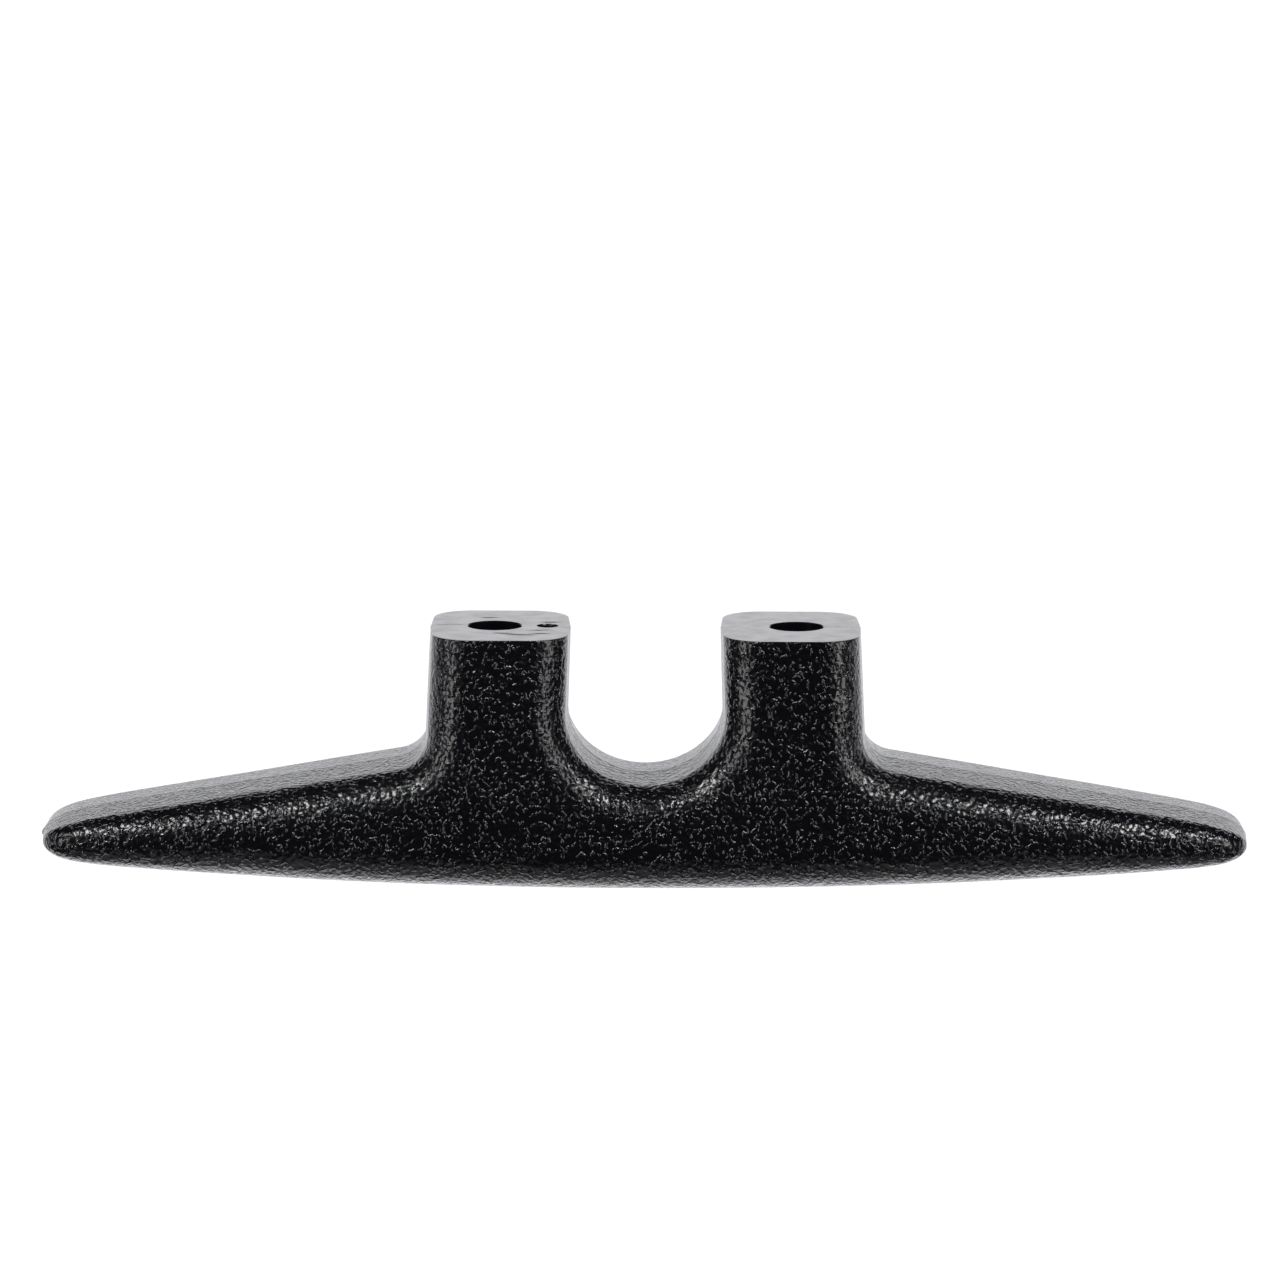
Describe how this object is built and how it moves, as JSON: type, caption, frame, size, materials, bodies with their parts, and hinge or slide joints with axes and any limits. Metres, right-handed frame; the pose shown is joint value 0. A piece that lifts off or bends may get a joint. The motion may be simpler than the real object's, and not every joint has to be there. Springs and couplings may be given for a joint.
{
  "type": "horn cleat",
  "caption": "Moulded horn cleat with two long horns on open arched legs; a line is belayed round the legs and under the horns.",
  "frame": {"origin": "middle of the deck face, halfway between the two screw bores, on the plane of the feet", "axes": "+X along the horns, +Y across the cleat, +Z away from the deck towards the crown"},
  "size_m": [0.1524, 0.0248, 0.0325],
  "materials": {
    "moulded_nylon": "black moulded nylon with a fine moulded grain; the two foot faces are smooth. The grade of plastic is a guess from its look"
  },
  "bodies": {
    "root": {"cleat_horn": "moulded_nylon"}
  },
  "joints": []
}
